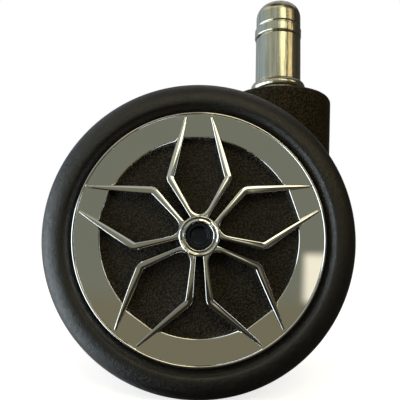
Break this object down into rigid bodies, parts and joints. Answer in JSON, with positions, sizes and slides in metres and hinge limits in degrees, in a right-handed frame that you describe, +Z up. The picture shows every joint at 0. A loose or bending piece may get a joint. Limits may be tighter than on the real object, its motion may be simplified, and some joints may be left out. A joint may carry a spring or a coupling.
{
  "type": "swivel chair caster",
  "caption": "Swivel chair caster: two black tyred wheels with chrome spoked trims under a round nylon neck, and a steel grip-ring stem.",
  "frame": {"origin": "on the swivel axis, at the shoulder where the stem leaves its collar", "axes": "+Z up the stem, Y along the wheel axle with the front wheel at -Y, wheels trailing towards -X"},
  "size_m": [0.0611, 0.0552, 0.0895],
  "materials": {
    "stem_steel": "zinc plated, satin, faint yellow tint",
    "ring_steel": "spring steel, zinc plated",
    "plain_steel": "ground steel",
    "housing_nylon": "black glass-filled nylon, fine texture",
    "bush_plastic": "natural acetal",
    "tyre": "black polyurethane, satin",
    "core_plastic": "black nylon",
    "disc_plastic": "black, fine leather-like grain",
    "trim_chrome": "mirror chrome plate on ABS",
    "plug_plastic": "black, polished"
  },
  "bodies": {
    "stem": {"stem": "stem_steel", "grip_ring": "ring_steel", "stem_retaining_ring": "ring_steel"},
    "housing": {"housing": "housing_nylon", "swivel_bush_upper": "bush_plastic", "swivel_bush_lower": "bush_plastic", "collar_washer": "plain_steel", "thrust_ball": "plain_steel", "axle": "plain_steel", "front_inner_washer": "bush_plastic", "rear_inner_washer": "bush_plastic", "front_outer_washer": "plain_steel", "rear_outer_washer": "plain_steel", "front_axle_clip": "ring_steel", "rear_axle_clip": "ring_steel"},
    "front_wheel": {"front_tyre": "tyre", "front_wheel_core": "core_plastic", "front_wheel_bush": "bush_plastic", "front_backing_disc": "disc_plastic", "front_trim": "trim_chrome", "front_hub_plug": "plug_plastic"},
    "rear_wheel": {"rear_tyre": "tyre", "rear_wheel_core": "core_plastic", "rear_wheel_bush": "bush_plastic", "rear_backing_disc": "disc_plastic", "rear_trim": "trim_chrome", "rear_hub_plug": "plug_plastic"}
  },
  "joints": [
    {"name": "swivel", "type": "hinge", "parent": "stem", "child": "housing", "pos_m": [0, 0, 0], "axis": [0, 0, 1], "continuous": true},
    {"name": "front_wheel_spin", "type": "hinge", "parent": "housing", "child": "front_wheel", "pos_m": [-0.0186, 0, -0.0397], "axis": [0, 1, 0], "continuous": true},
    {"name": "rear_wheel_spin", "type": "hinge", "parent": "housing", "child": "rear_wheel", "pos_m": [-0.0186, 0, -0.0397], "axis": [0, 1, 0], "continuous": true}
  ]
}
